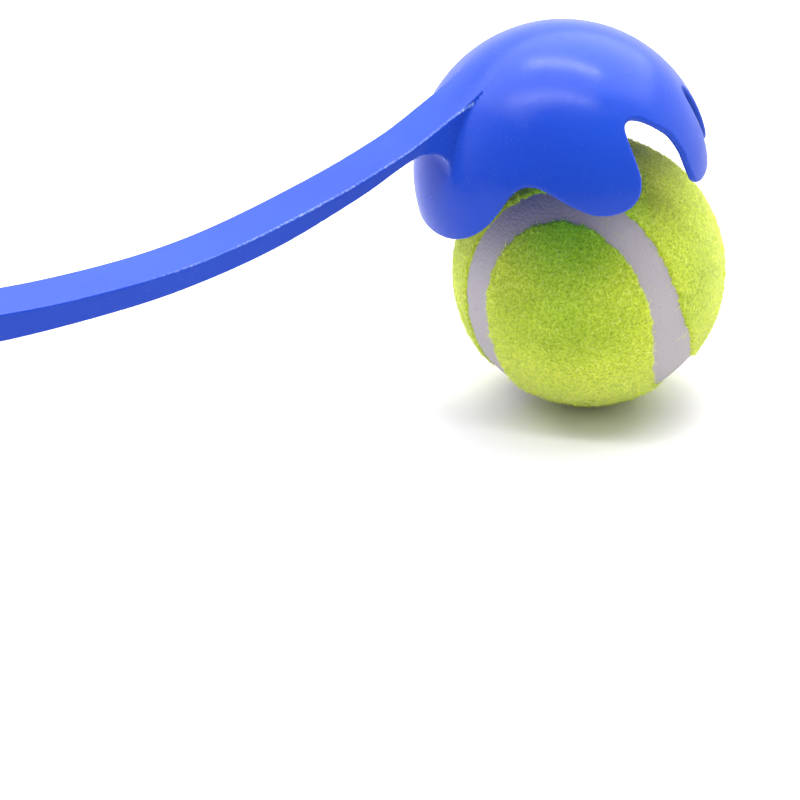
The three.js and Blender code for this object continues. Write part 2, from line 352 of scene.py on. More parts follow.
plastic = launcherPlastic(plasticLook)
felt = ballFelt(feltLook)
fibre = feltFibre(feltLook)
seam = seamRubber(seamLook)
core = coreRubber(coreLook)
dress("ball_core_half_a", core)
dress("ball_core_half_b", core)
print("CAD pieces dressed")

# Launcher in millimetres, seen from the side: along from the cup centre to the pommel, below, and width
launcherSizes = {
    "reach": 421.0,
    "carryTilt": 15.0,
    "ballRadius": 32.5,
    "ballClearance": 0.35,
    "cupWall": 1.65,
    "mouthTilt": 14.56,
    "armWidth": 14.4,
    "rootWidth": 21.0,
    "gripWidth": 21.0,
    "armEdgeRound": 0.5,
    "gripEdgeRound": 2.2,
    "rimRound": 0.74,
    "topFillet": 3.2,
    "underFillet": 1.3,
    "sideCrease": 0.65,
    "scallopHeight": 2.9,
    "scallopCount": 3,
    "webThickness": 3.2,
    "rimAbove": 5.1,
    "rimBelow": 6.2,
    "pocketLip": 0.7,
    "pocketFootHeight": 1.5,
    "pocketFootWidth": 0.9,
    "hangHole": 7.0,
    "holeEdge": 0.35,
    "creaseDepths": (0.2, 1.2),  # the crease beside the arm fades out where the arm sinks into the cup
    "cellSize": 0.55,            # of the cup's net
    "joinAlong": 60.0,           # where that net meets the arm
    "joinGap": 1.0,
    "rootAlong": (10, 80, 1401),
    "rimMargin": 3,
    "rimAlong": 40,
    "edgeSteps": 24,
    "edgeRounds": 12,
    "outlineStep": 0.9,
    "pocketStep": 0.7,
    "outlineRounds": 3,
    "endCorners": 9,             # across the arm's open end
    "lipSteps": 5,
    "wallLevels": (0.66, 0.33),
    "footGrows": (6, 0.15),      # the pocket's foot starts narrow at the tip
    "holeSteps": 3,
    "holeCorners": 40,
    "sideGrid": (3.2, 1.3),      # spacing of points on a flat side, and their gap from its edges
    "webGrid": (3.0, 1.2),
    "cornerFar": 5.0,
    "cornerFade": 0.3,
    "cupMargin": 0.06,
}

# The cup's rim: degrees round its axis from the arm's side, and down from the crown
mouthDegrees = [
    (7, 86.9), (17, 88.3), (26, 91.5), (33.6, 96.1), (40, 102), (46, 108.5), (51.5, 111.4), (57, 110.9),
    (62.5, 107.3), (70, 100.8), (77, 95.8), (84, 93.6), (91, 93.7), (96, 96.8), (98.5, 102), (99.2, 110),
    (99.8, 118), (101.6, 122.8), (105, 123.8), (110, 121.5), (115, 116.5), (119.5, 110.5), (121.8, 103),
    (122.8, 94.5), (125, 88), (129.5, 85.2), (136, 84.4), (141.5, 86), (144.3, 91.5), (145.2, 99),
    (145.8, 108), (148, 114), (151.5, 116), (155, 113), (156.5, 105), (157, 97), (158.5, 90), (163, 86.2),
    (172, 85.2), (182, 85.2), (190, 85.3), (197, 86.8), (201.5, 91), (204, 100), (206, 110), (209, 119),
    (216, 123), (223, 122.5), (229, 117), (233, 107), (238, 98), (246, 94), (256, 93.5), (265, 94.5),
    (272, 99), (278, 106), (283, 110.5), (289, 111.3), (295, 108), (302, 101), (309, 95), (317, 91),
    (327, 88.3), (340, 87), (353, 86.7),
]

# Arm and grip from the side, as shares of the reach: along and below
upperEdgeShares = [
    (0.0570, -0.0465), (0.0684, -0.0371), (0.080, -0.0276), (0.0886, -0.0185), (0.0957, -0.0107),
    (0.1067, 0.0002), (0.135, 0.0233), (0.1758, 0.0520), (0.2097, 0.0720), (0.2475, 0.0888),
    (0.2967, 0.1055), (0.347, 0.1166), (0.407, 0.1238), (0.467, 0.1225), (0.5266, 0.1140),
    (0.585, 0.0957), (0.6235, 0.0798), (0.662, 0.0603), (0.681, 0.0500), (0.7005, 0.0442),
    (0.7404, 0.0413), (0.7798, 0.0363), (0.8192, 0.0290), (0.8584, 0.0192), (0.8971, 0.0064),
    (0.9361, -0.0074), (0.9553, -0.0164), (0.9648, -0.0220), (0.9746, -0.0242), (0.985, -0.0204),
    (0.9935, -0.0095), (0.9985, 0.0060), (1.0018, 0.0210),
]
lowerEdgeShares = [
    (0.0570, 0.0333), (0.0689, 0.0154), (0.0748, 0.0076), (0.0789, 0.0024), (0.0822, -0.0019),
    (0.0874, -0.0038), (0.0931, -0.0024), (0.0988, 0.0012), (0.1083, 0.0100), (0.1245, 0.0257),
    (0.1625, 0.0565), (0.2028, 0.0815), (0.2425, 0.1005), (0.302, 0.1228), (0.348, 0.1336),
    (0.4085, 0.1406), (0.469, 0.1420), (0.528, 0.1350), (0.587, 0.1185), (0.626, 0.1076),
    (0.665, 0.0979), (0.685, 0.0952), (0.705, 0.0950), (0.7252, 0.0981), (0.7354, 0.1002),
    (0.7551, 0.0962), (0.7746, 0.0912), (0.7941, 0.0840), (0.8040, 0.0758), (0.8131, 0.0722),
    (0.862, 0.0620), (0.9109, 0.0506), (0.9501, 0.0399), (0.9603, 0.0425), (0.9710, 0.0483),
    (0.981, 0.0497), (0.9905, 0.0485), (0.998, 0.0385), (1.0018, 0.0235),
]
launcherShares = {
    "scallopStart": 0.8131, "scallopEnd": 0.9501, "pocketTip": 0.661, "pocketEnd": 0.9905,
    "gripStart": 0.60, "gripFull": 0.70, "rootStart": 0.070, "rootEnd": 0.102,
    "hangHole": (0.9663, 0.0103), "gripCentre": (0.82, 0.049),
}


def smoothStep(value, low, high):
    t = np.clip((value - low) / (high - low), 0, 1)
    return t * t * (3 - 2 * t)


def mix(first, second, factor):
    return first + (second - first) * factor


def unit(values):
    return values / np.linalg.norm(values, axis=-1, keepdims=True)


# Sine and cosine in even steps over a quarter of a turn
def quarterTurn(steps):
    angles = [step / steps * math.pi / 2 for step in range(steps + 1)]
    return [(math.sin(angle), math.cos(angle)) for angle in angles]


# Flat points or directions, with a number across the launcher added
def raised(flat, across):
    return np.column_stack([flat, np.broadcast_to(across, len(flat))])


# Smooth curve through all its knots
def splineThrough(knots, steps):
    padded = np.vstack([knots[:1], knots, knots[-1:]])
    t = (np.arange(steps) / steps)[None, :, None]
    corners = (padded[:-3], padded[1:-2], padded[2:-1], padded[3:])
    before, here, after, beyond = (corner[:, None, :] for corner in corners)
    leave = (after - before) / 2
    arrive = (beyond - here) / 2
    curve = ((2 * here - 2 * after + leave + arrive) * t ** 3
             + (3 * after - 3 * here - 2 * leave - arrive) * t ** 2 + leave * t + here)
    return np.vstack([curve.reshape(-1, knots.shape[1]), knots[-1:]])


# The same line with its points evenly apart
def spaced(line, spacing, closed=False):
    if closed:
        line = np.vstack([line, line[:1]])
    walked = np.concatenate([[0], np.cumsum(np.linalg.norm(np.diff(line, axis=0), axis=1))])
    count = max(int(round(walked[-1] / spacing)), 3)
    stops = np.linspace(0, walked[-1], count + 1)
    even = np.column_stack([np.interp(stops, walked, line[:, axis]) for axis in range(line.shape[1])])
    return even[:-1] if closed else even


def softened(line, rounds, closed=False):
    for _ in range(rounds):
        if closed:
            line = (np.roll(line, 1, 0) + 2 * line + np.roll(line, -1, 0)) / 4
        else:
            line = np.vstack([line[:1], (line[:-2] + 2 * line[1:-1] + line[2:]) / 4, line[-1:]])
    return line


# Directions square to a flat line, away from its middle
def outwardOf(line, closed=False):
    ahead = np.roll(line, -1, 0) - np.roll(line, 1, 0)
    if not closed:
        ahead[0] = line[1] - line[0]
        ahead[-1] = line[-1] - line[-2]
    side = unit(np.column_stack([ahead[:, 1], -ahead[:, 0]]))
    return -side if np.mean(np.einsum("ij,ij->i", line - line.mean(0), side)) < 0 else side


# Upper and lower edge in the side view, the lower one with the finger scallops
def sideEdges(sizes):
    reach = sizes["reach"]
    upper = splineThrough(np.array(upperEdgeShares) * reach, sizes["edgeSteps"])
    lower = splineThrough(np.array(lowerEdgeShares) * reach, sizes["edgeSteps"])
    start = launcherShares["scallopStart"] * reach
    end = launcherShares["scallopEnd"] * reach
    turn = np.clip((lower[:, 0] - start) / (end - start), 0, 1)
    lower[:, 1] += sizes["scallopHeight"] * np.sin(math.pi * sizes["scallopCount"] * turn) ** 2
    return softened(upper, sizes["edgeRounds"]), softened(lower, sizes["edgeRounds"])


upperEdge, lowerEdge = sideEdges(launcherSizes)


def edgeAt(edge, along):
    return np.interp(along, edge[:, 0], edge[:, 1])


def edgeSlope(edge, along, gap=0.2):
    return (edgeAt(edge, along + gap) - edgeAt(edge, along - gap)) / (2 * gap)


# Nought on the arm, one on the grip
def gripShare(sizes, along):
    reach = sizes["reach"]
    return smoothStep(along, launcherShares["gripStart"] * reach, launcherShares["gripFull"] * reach)


def halfWidth(sizes, along):
    return mix(sizes["armWidth"], sizes["gripWidth"], gripShare(sizes, along)) / 2


# The rim as directions: its knots joined by a curve that doesn't overshoot where they stand close
def mouthCurve(sizes, spacing):
    knots = np.array(mouthDegrees, float)
    turnRound = np.array([360.0, 0.0])
    knots = np.vstack([knots[-2:] - turnRound, knots, knots[:2] + turnRound])
    gaps = np.sqrt(np.linalg.norm(np.diff(knots, axis=0), axis=1))
    pieces = []
    for i in range(1, len(knots) - 2):
        p = knots[i - 1:i + 3]
        g = gaps[i - 1:i + 2]
        leave = ((p[1] - p[0]) / g[0] - (p[2] - p[0]) / (g[0] + g[1]) + (p[2] - p[1]) / g[1]) * g[1]
        arrive = ((p[2] - p[1]) / g[1] - (p[3] - p[1]) / (g[1] + g[2]) + (p[3] - p[2]) / g[2]) * g[1]
        t = np.linspace(0, 1, sizes["curveSteps"], endpoint=False)[:, None]
        pieces.append(p[1] + leave * t + (3 * p[2] - 3 * p[1] - 2 * leave - arrive) * t ** 2
                      + (2 * p[1] - 2 * p[2] + leave + arrive) * t ** 3)
    degrees = np.vstack(pieces)
    first = np.searchsorted(degrees[:, 0], 0.0)
    last = np.searchsorted(degrees[:, 0], 360.0)
    line = onSphere(np.radians(degrees[first:last, 0]), np.radians(degrees[first:last, 1]))
    return unit(softened(spaced(line, spacing, True), sizes["curveRounds"], True))


mouthTurn = math.radians(launcherSizes["mouthTilt"] + launcherSizes["carryTilt"])
mouthAxis = np.array([-math.sin(mouthTurn), math.cos(mouthTurn), 0.0])
armSide = np.array([math.cos(mouthTurn), math.sin(mouthTurn), 0.0])
nearSide = np.array([0.0, 0.0, -1.0])


def onSphere(azimuth, polar):
    across = np.sin(polar)[..., None]
    return (mouthAxis * np.cos(polar)[..., None] + armSide * across * np.cos(azimuth)[..., None]
            + nearSide * across * np.sin(azimuth)[..., None])


mouthGrid = {
    "degrees": (74.0, 134.0),  # the rim lies between these, down from the crown
    "columns": 900,
    "rows": 241,
    "block": 20000,
    "curveSteps": 24,
    "curveRounds": 4,
    "rimStep": 0.2,
    "nearRim": 1.2,            # closer than this the distance is measured square to the rim
}


# Distance from the rim over the cup's surface, kept on a grid of directions; below nought on the cup's side
class MouthField:
    def __init__(self, radius, sizes):
        self.low, self.high = sizes["degrees"]
        self.columns, self.rows = sizes["columns"], sizes["rows"]
        line = mouthCurve(sizes, sizes["rimStep"] / radius)
        inward = unit(np.cross(line, np.roll(line, -1, 0) - np.roll(line, 1, 0)))
        if np.mean(inward @ mouthAxis) > 0:
            inward = -inward
        azimuth = np.linspace(0, 2 * math.pi, self.columns, endpoint=False)
        polar = np.radians(np.linspace(self.low, self.high, self.rows))
        grid = onSphere(*np.meshgrid(azimuth, polar, indexing="ij")).reshape(-1, 3)
        values = np.empty(len(grid))
        for start in range(0, len(grid), sizes["block"]):
            part = slice(start, start + sizes["block"])
            block = grid[part]
            nearest = np.argmax(block @ line.T, axis=1)
            offset = block - line[nearest]
            across = np.einsum("ij,ij->i", offset, inward[nearest])
            far = np.linalg.norm(offset, axis=1)
            byRim = far * radius <= sizes["nearRim"]
            values[part] = np.where(byRim, across, np.sign(across) * far)
        self.values = -values.reshape(self.columns, self.rows)

    def at(self, points, radius):
        azimuth = np.arctan2(points @ nearSide, points @ armSide) % (2 * math.pi)
        polar = np.degrees(np.arccos(np.clip(points @ mouthAxis / radius, -1, 1)))
        column = azimuth / (2 * math.pi) * self.columns
        row = np.clip((polar - self.low) / (self.high - self.low), 0, 0.99999) * (self.rows - 1)
        c = column.astype(int) % self.columns
        r = row.astype(int)
        u = column - np.floor(column)
        v = row - r
        d = (c + 1) % self.columns
        kept = self.values
        return (kept[c, r] * (1 - u) * (1 - v) + kept[d, r] * u * (1 - v)
                + kept[c, r + 1] * (1 - u) * v + kept[d, r + 1] * u * v) * radius


# Union of two fields with a fillet, and what two fields share with a rounded edge
def smoothMin(first, second, width):
    near = np.maximum(width - np.abs(first - second), 0) / width
    return np.minimum(first, second) - near * near * width / 4


def roundMax(first, second, radius):
    outside = np.sqrt(np.maximum(first + radius, 0) ** 2 + np.maximum(second + radius, 0) ** 2)
    return np.minimum(np.maximum(first, second), -radius) + outside


# Cup and foot of the arm as one field, below nought inside the plastic
class CupField:
    def __init__(self, sizes):
        self.sizes = sizes
        self.inside = sizes["ballRadius"] + sizes["ballClearance"]
        self.outside = self.inside + sizes["cupWall"]
        self.mouth = MouthField((self.inside + self.outside) / 2, mouthGrid)
        along = np.linspace(*sizes["rootAlong"])
        self.along = along
        self.tables = [edgeAt(upperEdge, along), edgeSlope(upperEdge, along),
                       edgeAt(lowerEdge, along), edgeSlope(lowerEdge, along)]
        # inside the cup both edges run on straight
        first = along < upperEdge[0, 0]
        for edge, table, slope in ((upperEdge, 0, 1), (lowerEdge, 2, 3)):
            lean = (edge[12, 1] - edge[0, 1]) / (edge[12, 0] - edge[0, 0])
            self.tables[table][first] = edge[0, 1] + (along[first] - edge[0, 0]) * lean
            self.tables[slope][along < edge[0, 0] + 0.3] = lean

    def at(self, points):
        sizes = self.sizes
        a, b, y = points[..., 0], points[..., 1], points[..., 2]
        radius = np.sqrt(a * a + b * b + y * y)
        ball = radius - self.outside
        top, topSlope, under, underSlope = (np.interp(a, self.along, table) for table in self.tables)
        above = (top - b) / np.sqrt(1 + topSlope ** 2)
        below = (b - under) / np.sqrt(1 + underSlope ** 2)
        reach = sizes["reach"]
        flare = 1 - smoothStep(a, launcherShares["rootStart"] * reach, launcherShares["rootEnd"] * reach)
        down = np.clip((b - top) / np.maximum(under - top, 1.0), 0, 1)
        wide = mix(sizes["armWidth"], mix(sizes["armWidth"], sizes["rootWidth"], flare), down) / 2
        bar = roundMax(smoothMin(above, ball, sizes["topFillet"]),
                       smoothMin(below, ball, sizes["underFillet"]), sizes["armEdgeRound"])
        arm = roundMax(bar, np.abs(y) - wide, sizes["armEdgeRound"])
        arm = np.maximum(arm, upperEdge[0, 0] - a)
        crease = smoothMin(arm, ball, sizes["sideCrease"]) - np.minimum(arm, ball)
        whole = np.minimum(arm, ball) + crease * smoothStep(ball - bar, *sizes["creaseDepths"])
        wall = np.maximum(whole, self.inside - radius)
        cut = np.full(radius.shape, -20.0)
        deep = radius <= self.inside - sizes["rimMargin"]
        near = ~deep & (radius < self.outside + sizes["rimMargin"]) & (a < sizes["rimAlong"])
        cut[near] = self.mouth.at(points[near], radius[near])
        wall[deep] = self.inside - radius[deep]
        return roundMax(wall, cut, sizes["rimRound"])

    def slope(self, points, gap=0.02):
        rises = [self.at(points + step) - self.at(points - step) for step in np.eye(3) * gap]
        return np.stack([rise / (2 * gap) for rise in rises], -1)


# Four-sided net where the field passes nought, one corner in each cell that it crosses
def surfaceNet(field, low, high, step, rounds=4, nudge=1e-4):
    axes = [np.arange(start, end + step * 0.5, step) for start, end in zip(low, high)]
    grid = np.stack(np.meshgrid(*axes, indexing="ij"), -1)
    values = np.concatenate([field.at(slab)[None] for slab in grid])
    # where two cells would touch along one edge only, the nearest value changes sign
    for _ in range(rounds):
        for axis in range(3):
            face = np.moveaxis(values, axis, 0)
            full = face < 0
            crossed = ((full[:, :-1, :-1] == full[:, 1:, 1:]) & (full[:, 1:, :-1] == full[:, :-1, 1:])
                       & (full[:, :-1, :-1] != full[:, 1:, :-1]))
            for i, j, k in np.argwhere(crossed):
                block = face[i, j:j + 2, k:k + 2]
                u, v = divmod(int(np.argmin(np.abs(block))), 2)
                block[u, v] = -math.copysign(nudge, block[u, v])
    filled = values < 0
    size = np.array(values.shape)
    cells = np.zeros(size - 1, np.int8)
    corners = np.array(np.meshgrid([0, 1], [0, 1], [0, 1], indexing="ij")).reshape(3, -1).T
    for i, j, k in corners:
        cells += filled[i:size[0] - 1 + i, j:size[1] - 1 + j, k:size[2] - 1 + k]
    mixed = (cells > 0) & (cells < 8)
    at = np.argwhere(mixed)
    index = np.full(mixed.shape, -1)
    index[mixed] = np.arange(len(at))
    total = np.zeros((len(at), 3))
    number = np.zeros(len(at))
    for first in corners:
        for axis in np.flatnonzero(first == 0):
            second = first.copy()
            second[axis] = 1
            here = values[tuple((at + first).T)]
            there = values[tuple((at + second).T)]
            crossed = (here < 0) != (there < 0)
            share = here[crossed] / (here[crossed] - there[crossed])
            total[crossed] += first + (second - first) * share[:, None]
            number[crossed] += 1
    points = np.array(low) + (at + total / number[:, None]) * step
    quads = []
    for axis in range(3):
        u, v = [other for other in range(3) if other != axis]
        here = np.moveaxis(filled, (axis, u, v), (0, 1, 2))
        net = np.moveaxis(index, (axis, u, v), (0, 1, 2))
        changed = np.argwhere(here[:-1, 1:-1, 1:-1] != here[1:, 1:-1, 1:-1])
        i, j, k = changed[:, 0], changed[:, 1] + 1, changed[:, 2] + 1
        around = [net[i, j, k], net[i, j - 1, k], net[i, j - 1, k - 1], net[i, j, k - 1]]
        quads.append(np.stack(around, -1))
    return points, np.vstack(quads)


# Points moved on to the field's surface, with the way out there
def settled(field, points, rounds=4, longest=0.25):
    for _ in range(rounds):
        value = field.at(points)
        slope = field.slope(points)
        steep = np.maximum(np.einsum("ij,ij->i", slope, slope), 0.2)
        move = slope * (value / steep)[:, None]
        length = np.linalg.norm(move, axis=1, keepdims=True)
        points = points - move * np.minimum(1, longest / np.maximum(length, 1e-9))
    slope = field.slope(points)
    return points, slope / np.maximum(np.linalg.norm(slope, axis=1, keepdims=True), 1e-9)


# One mesh put together from patches; every corner keeps its own normal
class Patchwork:
    def __init__(self):
        self.points = []
        self.normals = []
        self.faces = []
        self.count = 0

    def add(self, points, normals):
        first = self.count
        self.points.append(np.asarray(points, float))
        self.normals.append(np.asarray(normals, float))
        self.count += len(points)
        return np.arange(first, self.count)

    def rows(self, rows, closed=False):
        rows = np.asarray(rows)
        here, there = rows[:-1], rows[1:]
        if closed:
            here = np.hstack([here, here[:, :1]])
            there = np.hstack([there, there[:, :1]])
        corners = np.stack([here[:, :-1], here[:, 1:], there[:, 1:], there[:, :-1]], -1)
        self.faces += corners.reshape(-1, 4).tolist()

    # Two rings with different counts, each a closed row in the same sense
    def zipper(self, first, second):
        points = np.vstack(self.points)
        first, second = list(first), list(second)
        start = int(np.argmin(np.linalg.norm(points[second] - points[first[0]], axis=1)))
        second = second[start:] + second[:start]
        i = j = 0
        while i < len(first) or j < len(second):
            here, there = first[i % len(first)], second[j % len(second)]
            nextHere, nextThere = first[(i + 1) % len(first)], second[(j + 1) % len(second)]
            byFirst = np.linalg.norm(points[nextHere] - points[there])
            bySecond = np.linalg.norm(points[nextThere] - points[here])
            if j >= len(second) or (i < len(first) and byFirst <= bySecond):
                self.faces.append([here, nextHere, there])
                i += 1
            else:
                self.faces.append([here, nextThere, there])
                j += 1

    # Triangles between flat loops, the first outermost, with more points scattered inside
    def fill(self, loops, flatPoints, inner, innerIndex):
        corners = [Vector(p) for p in flatPoints]
        order = [i for loop in loops for i in loop]
        edges = []
        start = 0
        for loop in loops:
            count = len(loop)
            edges += [(start + i, start + (i + 1) % count) for i in range(count)]
            start += count
        corners += [Vector(p) for p in inner]
        order += list(innerIndex)
        result = delaunay_2d_cdt(corners, edges, [], 1, 1e-5)
        origin = [ids[0] for ids in result[3]]
        flat = np.array([tuple(p) for p in corners])
        faces = np.array([[origin[i] for i in face] for face in result[2]])
        middles = flat[faces].mean(1)
        kept = np.ones(len(faces), bool)
        start = len(loops[0])
        for loop in loops[1:]:
            kept &= ~inside(middles, flat[start:start + len(loop)])
            start += len(loop)
        self.faces += [[order[i] for i in face] for face in faces[kept]]

    # All faces turned to the side that their corners' normals point to
    def outward(self, points, normals):
        faces = []
        for size in (3, 4):
            group = np.array([face for face in self.faces if len(face) == size])
            if len(group):
                corners = [points[group[:, i]] for i in range(size)]
                turn = np.cross(corners[-2] - corners[0], corners[-1] - corners[size - 3])
                wrong = np.einsum("ij,ij->i", turn, normals[group].sum(1)) < 0
                group[wrong] = group[wrong][:, ::-1]
                faces += group.tolist()
        return faces

    def mesh(self, name, toWorld):
        points = np.vstack(self.points)
        normals = np.vstack(self.normals)
        faces = self.outward(points, normals)
        places, mirrored = toWorld(points)
        if mirrored:
            faces = [face[::-1] for face in faces]
        mesh = bpy.data.meshes.new(name)
        mesh.from_pydata(places.tolist(), [], faces)
        mesh.validate()
        mesh.update()
        mesh.shade_smooth()
        mesh.normals_split_custom_set_from_vertices(toWorld(normals, True)[0].tolist())
        return mesh


# The open edge of a net as one ring of corners
def boundaryRing(faces):
    edges = {}
    for face in faces:
        for first, second in zip(face, face[1:] + face[:1]):
            if (second, first) in edges:
                del edges[(second, first)]
            else:
                edges[(first, second)] = True
    following = dict(edges.keys())
    ring = [next(iter(following))]
    while following[ring[-1]] != ring[0]:
        ring.append(following[ring[-1]])
    return ring


# Arm and grip: an edge band that follows the side outline, flat sides and two cored pockets
def armOutline(sizes):
    start = sizes["joinAlong"] + sizes["joinGap"]
    ends = []
    for edge in (upperEdge, lowerEdge):
        kept = edge[edge[:, 0] > start]
        ends.append(np.vstack([[start, edgeAt(edge, start)], kept]))
    line = np.vstack([ends[0], ends[1][::-1]])
    return softened(spaced(line, sizes["outlineStep"]), sizes["outlineRounds"])


def bandRows(sizes, line, patch, steps=6, flats=5):
    outward = outwardOf(line)
    half = halfWidth(sizes, line[:, 0])
    turn = mix(sizes["armEdgeRound"], sizes["gripEdgeRound"], gripShare(sizes, line[:, 0]))
    rows = []
    for side in (1, -1):
        for sine, cosine in quarterTurn(steps)[::side]:
            place = line - outward * (turn * (1 - sine))[:, None]
            rows.append(patch.add(raised(place, (half - turn + turn * cosine) * side),
                                  raised(outward * sine, cosine * side)))
        if side > 0:
            for flat in range(1, flats):
                across = (half - turn) * (1 - 2 * flat / flats)
                rows.append(patch.add(raised(line, across), raised(outward, 0)))
    patch.rows(rows)
    return rows, line - outward * turn[:, None]


def pocketOutline(sizes):
    reach = sizes["reach"]
    tip = launcherShares["pocketTip"] * reach
    end = launcherShares["pocketEnd"] * reach
    share = (1 - np.cos(np.linspace(0, math.pi, 400))) / 2
    along = tip + (end - tip) * share
    closing = np.minimum((along - tip) / sizes["gripWidth"], (end - along) / sizes["rimAbove"])
    inner = np.sqrt(1 - (1 - np.clip(closing, 0, 1)) ** 2)
    top = edgeAt(upperEdge, along) + sizes["rimAbove"]
    bottom = edgeAt(lowerEdge, along) - sizes["rimBelow"]
    middle = (top + bottom) / 2
    half = np.maximum(bottom - top, 0) / 2 * inner
    upper = np.column_stack([along, middle - half])
    lower = np.column_stack([along, middle + half])
    line = np.vstack([upper, lower[1:-1][::-1]])
    return softened(spaced(line, sizes["pocketStep"], True), sizes["outlineRounds"], True)


# True for the points inside a flat loop
def inside(points, loop):
    x, y = points[:, 0:1], points[:, 1:2]
    x0, y0 = loop[:, 0], loop[:, 1]
    x1, y1 = np.roll(x0, -1), np.roll(y0, -1)
    crossed = ((y0 > y) != (y1 > y)) & (x < (x1 - x0) * (y - y0) / (y1 - y0 + 1e-12) + x0)
    return crossed.sum(1) % 2 == 1


rowShare = 0.866  # height of a row of even triangles, as a share of their side


# Staggered points inside the first loop and outside the others, clear of all of them
def scattered(loops, spacing, clear):
    outer = loops[0]
    low, high = outer.min(0), outer.max(0)
    across = np.arange(low[0], high[0], spacing)
    down = np.arange(low[1], high[1], spacing * rowShare)
    grid = np.array([(x + (spacing / 2 if j % 2 else 0), y) for j, y in enumerate(down) for x in across])
    kept = inside(grid, outer)
    for hole in loops[1:]:
        kept &= ~inside(grid, hole)
    grid = grid[kept]
    every = np.vstack(loops)
    far = np.array([np.min(np.sum((every - p) ** 2, 1)) for p in grid])
    return grid[far > clear ** 2]


# One pocket's lip, wall and foot, with the loops that its rim's side and its floor are filled to
def pocketWall(sizes, line, outward, side, patch):
    half = halfWidth(sizes, line[:, 0])
    web = sizes["webThickness"] / 2
    lip, footHigh, footWide = sizes["pocketLip"], sizes["pocketFootHeight"], sizes["pocketFootWidth"]
    growth, narrowest = sizes["footGrows"]
    footShare = np.clip((line[:, 0:1] - line[:, 0].min()) / growth, narrowest, 1)
    rows = []
    for sine, cosine in quarterTurn(sizes["lipSteps"]):
        rows.append(patch.add(raised(line + outward * (lip * (1 - sine)), (half - lip * (1 - cosine)) * side),
                              raised(-outward * sine, cosine * side)))
    for level in sizes["wallLevels"]:
        rows.append(patch.add(raised(line, mix(web + footHigh, half - lip, level) * side),
                              raised(-outward, 0)))
    for sine, cosine in quarterTurn(sizes["lipSteps"]):
        place = line - outward * (footShare * footWide * (1 - cosine))
        rows.append(patch.add(raised(place, (web + footHigh * (1 - sine)) * side),
                              raised(-outward * cosine, sine * side)))
    patch.rows(rows, True)
    return rows, line + outward * lip, line - outward * (footShare * footWide)


# The hang hole's rounded edge on one side of the web
def holeEdge(sizes, centre, side, patch):
    turns = np.linspace(0, 2 * math.pi, sizes["holeCorners"], endpoint=False)
    circle = np.column_stack([np.cos(turns), np.sin(turns)])
    edge = sizes["holeEdge"]
    radius = sizes["hangHole"] / 2
    rows = []
    for sine, cosine in quarterTurn(sizes["holeSteps"]):
        depth = sizes["webThickness"] / 2 - edge * (1 - cosine)
        rows.append(patch.add(raised(centre + circle * (radius + edge * (1 - sine)), depth * side),
                              raised(-circle * sine, cosine * side)))
    patch.rows(rows, True)
    return rows, centre + circle * (radius + edge)


def buildArm(sizes, patch):
    rows, inset = bandRows(sizes, armOutline(sizes), patch)
    pocketLine = pocketOutline(sizes)
    pocketOut = outwardOf(pocketLine, True)
    holeCentre = np.array(launcherShares["hangHole"]) * sizes["reach"]
    web = sizes["webThickness"] / 2
    count = sizes["endCorners"]
    between = [mix(inset[-1], inset[0], i / count) for i in range(1, count)]
    outer = np.vstack([inset, between])
    ends = {}
    holeRings = {}
    for side in (1, -1):
        edgeRow = rows[0] if side > 0 else rows[-1]
        walls, lipLoop, floorLoop = pocketWall(sizes, pocketLine, pocketOut, side, patch)
        ends[side] = patch.add([(a, b, float(halfWidth(sizes, a)) * side) for a, b in between],
                               [(0, 0, side)] * len(between))
        inner = scattered([outer, lipLoop], *sizes["sideGrid"])
        index = patch.add(raised(inner, halfWidth(sizes, inner[:, 0]) * side),
                          np.tile([0, 0, side], (len(inner), 1)))
        patch.fill([list(edgeRow) + list(ends[side]), list(walls[0])],
                   np.vstack([outer, lipLoop]).tolist(), inner.tolist(), index)
        rings, holeLoop = holeEdge(sizes, holeCentre, side, patch)
        holeRings[side] = rings[-1]
        inner = scattered([floorLoop, holeLoop], *sizes["webGrid"])
        index = patch.add(raised(inner, web * side), np.tile([0, 0, side], (len(inner), 1)))
        patch.fill([list(walls[-1]), list(rings[0])], np.vstack([floorLoop, holeLoop]).tolist(),
                   inner.tolist(), index)
    patch.rows([holeRings[1], holeRings[-1]], True)
    # round the open end: over the top, down the far side, back underneath, up the near side
    upperStart = [row[0] for row in rows]
    lowerStart = [row[-1] for row in rows]
    return upperStart + list(ends[-1][::-1]) + lowerStart[::-1] + list(ends[1])


metres = 0.001  # one millimetre


# From the side view's millimetres to the frame; the side view is a mirror image, so faces turn over
def launcherToWorld(values, direction=False):
    tilt = math.radians(launcherSizes["carryTilt"])
    along = np.array([-math.cos(tilt), 0, math.sin(tilt)])
    below = np.array([-math.sin(tilt), 0, -math.cos(tilt)])
    world = values[:, 0:1] * along + values[:, 1:2] * below + values[:, 2:3] * np.array([0, 1, 0])
    if not direction:
        gripAlong, gripBelow = np.array(launcherShares["gripCentre"]) * launcherSizes["reach"]
        world = (world - along * gripAlong - below * gripBelow) * metres
    return world, True


